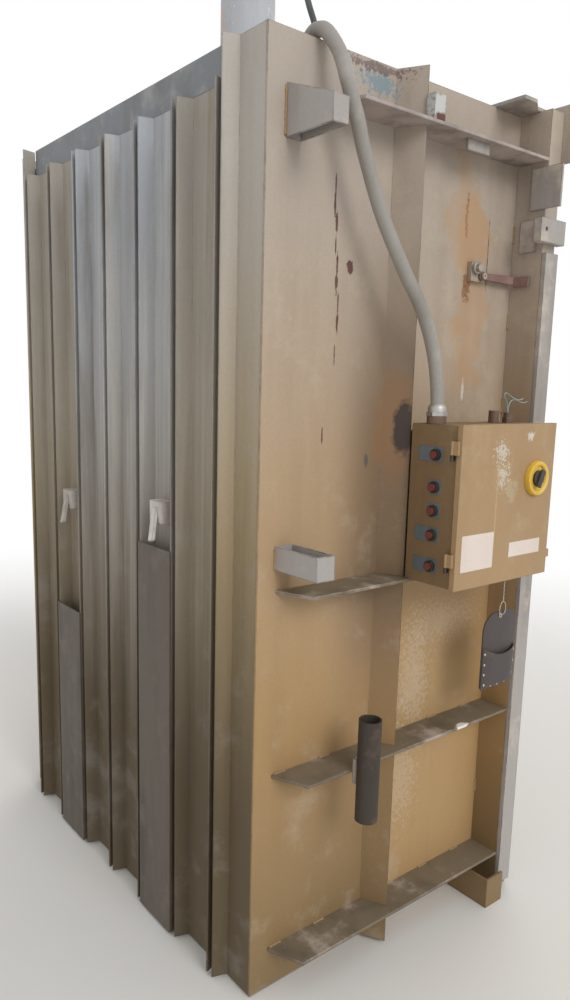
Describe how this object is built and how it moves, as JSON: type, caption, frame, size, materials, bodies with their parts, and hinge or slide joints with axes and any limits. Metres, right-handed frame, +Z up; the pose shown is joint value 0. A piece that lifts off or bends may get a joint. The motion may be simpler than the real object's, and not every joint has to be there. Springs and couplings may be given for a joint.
{
  "type": "recycling baler",
  "caption": "Upright steel baler with ribbed back wall, folded side walls, hydraulic ram on top, hinged bale door, lifting feed gate and a side control box.",
  "frame": {"origin": "on the ground under the middle of the body, at the bottom face of the base's middle cross tube", "axes": "+Z up, -Y towards the bale door at the front, -X towards the side with the control box"},
  "size_m": [1.865, 1.2177, 3.87],
  "materials": {
    "tan_paint": "faded tan machine paint, chipped and rust-stained",
    "grey_steel": "weathered paint worn to dull grey",
    "rusty_steel": "brown surface rust",
    "bare_steel": "dull bare steel",
    "polished_rod": "polished ram rod",
    "primer": "pinkish primer with pale patches",
    "dark_metal": "blackened steel",
    "motor_paint": "grey-blue machine enamel",
    "conduit_grey": "dusty grey plastic jacket",
    "hose_black": "black rubber",
    "yellow_plastic": "moulded yellow plastic",
    "black_plastic": "moulded black plastic",
    "button_red": "faded red-brown plastic",
    "legend_blue": "dull blue-grey plate",
    "blank_label": "blank off-white film",
    "black_leather": "dry black leather"
  },
  "bodies": {
    "frame": {"base_frame": "grey_steel", "floor_plate": "grey_steel", "floor_strips": "grey_steel", "back_pans": "grey_steel", "back_band": "tan_paint", "chain_guards": "grey_steel", "chain_hooks": "grey_steel", "side_skin_left": "tan_paint", "side_skin_right": "tan_paint", "side_liners": "grey_steel", "side_ribs": "tan_paint", "front_posts": "tan_paint", "side_tabs": "tan_paint", "front_feet": "tan_paint", "front_sills": "tan_paint", "front_header": "tan_paint", "top_deck": "grey_steel", "deck_beams": "grey_steel", "side_stubs": "tan_paint", "pipe_holder": "rusty_steel", "gate_rails": "tan_paint", "door_hinge_lowers": "bare_steel", "latch_pivot": "bare_steel", "cylinder_head": "grey_steel", "cylinder_barrel": "primer", "cylinder_cap": "grey_steel", "cylinder_bolts": "bare_steel", "oil_tank": "grey_steel", "pump_motor": "motor_paint", "valve_block": "bare_steel", "cap_hose": "hose_black", "box_body": "tan_paint", "box_hinges": "bare_steel", "button_bezels": "dark_metal", "legend_plates": "legend_blue", "conduit": "conduit_grey", "box_fittings": "grey_steel", "lever_bracket": "dark_metal", "ejector_lugs": "grey_steel"},
    "door": {"bale_door": "tan_paint", "door_hinge_uppers": "bare_steel"},
    "latch": {"latch_bar": "tan_paint"},
    "latch_screw": {"latch_screw": "bare_steel"},
    "gate": {"feed_gate": "tan_paint"},
    "ram": {"platen": "grey_steel", "ram_rod": "polished_rod", "ram_piston": "bare_steel"},
    "box_door": {"box_door": "tan_paint", "door_labels": "blank_label", "disconnect_ring": "yellow_plastic"},
    "switch": {"disconnect_handle": "black_plastic"},
    "lever": {"swing_lever": "rusty_steel"},
    "pouch": {"sheath_hanger": "bare_steel", "sheath": "black_leather"},
    "ejector": {"ejector_flap": "grey_steel"},
    "button_1": {"button_1": "button_red"},
    "button_2": {"button_2": "button_red"},
    "button_3": {"button_3": "button_red"},
    "button_4": {"button_4": "button_red"},
    "button_5": {"button_5": "button_red"}
  },
  "joints": [
    {"name": "platen_slide", "type": "slide", "parent": "frame", "child": "ram", "axis": [0, 0, -1], "range_m": [0, 1.15]},
    {"name": "door_swing", "type": "hinge", "parent": "frame", "child": "door", "pos_m": [0.74, -0.53, 0.7], "axis": [0, 0, 1], "range_deg": [0, 120]},
    {"name": "latch_swing", "type": "hinge", "parent": "frame", "child": "latch", "pos_m": [-0.712, -0.567, 0.74], "axis": [0, -1, 0], "range_deg": [0, 90]},
    {"name": "latch_screw_turn", "type": "hinge", "parent": "latch", "child": "latch_screw", "pos_m": [-0.712, -0.6, 0.47], "axis": [0, 1, 0], "continuous": true},
    {"name": "gate_lift", "type": "slide", "parent": "frame", "child": "gate", "axis": [0, 0, 1], "range_m": [0, 0.6]},
    {"name": "box_door_swing", "type": "hinge", "parent": "frame", "child": "box_door", "pos_m": [-0.948, 0.072, 1.3], "axis": [0, 0, -1], "range_deg": [0, 110]},
    {"name": "switch_turn", "type": "hinge", "parent": "box_door", "child": "switch", "pos_m": [-0.98, -0.255, 1.387], "axis": [1, 0, 0], "range_deg": [0, 90]},
    {"name": "lever_swing", "type": "hinge", "parent": "frame", "child": "lever", "pos_m": [-0.7385, -0.274, 1.938], "axis": [1, 0, 0], "range_deg": [-75, 75]},
    {"name": "pouch_swing", "type": "hinge", "parent": "frame", "child": "pouch", "pos_m": [-0.88, -0.285, 1.099], "axis": [1, 0, 0], "range_deg": [-25, 25]},
    {"name": "ejector_tip", "type": "hinge", "parent": "frame", "child": "ejector", "pos_m": [0, 0.458, 0.169], "axis": [1, 0, 0], "range_deg": [0, 45]},
    {"name": "button_1_press", "type": "slide", "parent": "frame", "child": "button_1", "axis": [0, -1, 0], "range_m": [0, 0.004], "stiffness_N_per_m": 400},
    {"name": "button_2_press", "type": "slide", "parent": "frame", "child": "button_2", "axis": [0, -1, 0], "range_m": [0, 0.004], "stiffness_N_per_m": 400},
    {"name": "button_3_press", "type": "slide", "parent": "frame", "child": "button_3", "axis": [0, -1, 0], "range_m": [0, 0.004], "stiffness_N_per_m": 400},
    {"name": "button_4_press", "type": "slide", "parent": "frame", "child": "button_4", "axis": [0, -1, 0], "range_m": [0, 0.004], "stiffness_N_per_m": 400},
    {"name": "button_5_press", "type": "slide", "parent": "frame", "child": "button_5", "axis": [0, -1, 0], "range_m": [0, 0.004], "stiffness_N_per_m": 400}
  ]
}
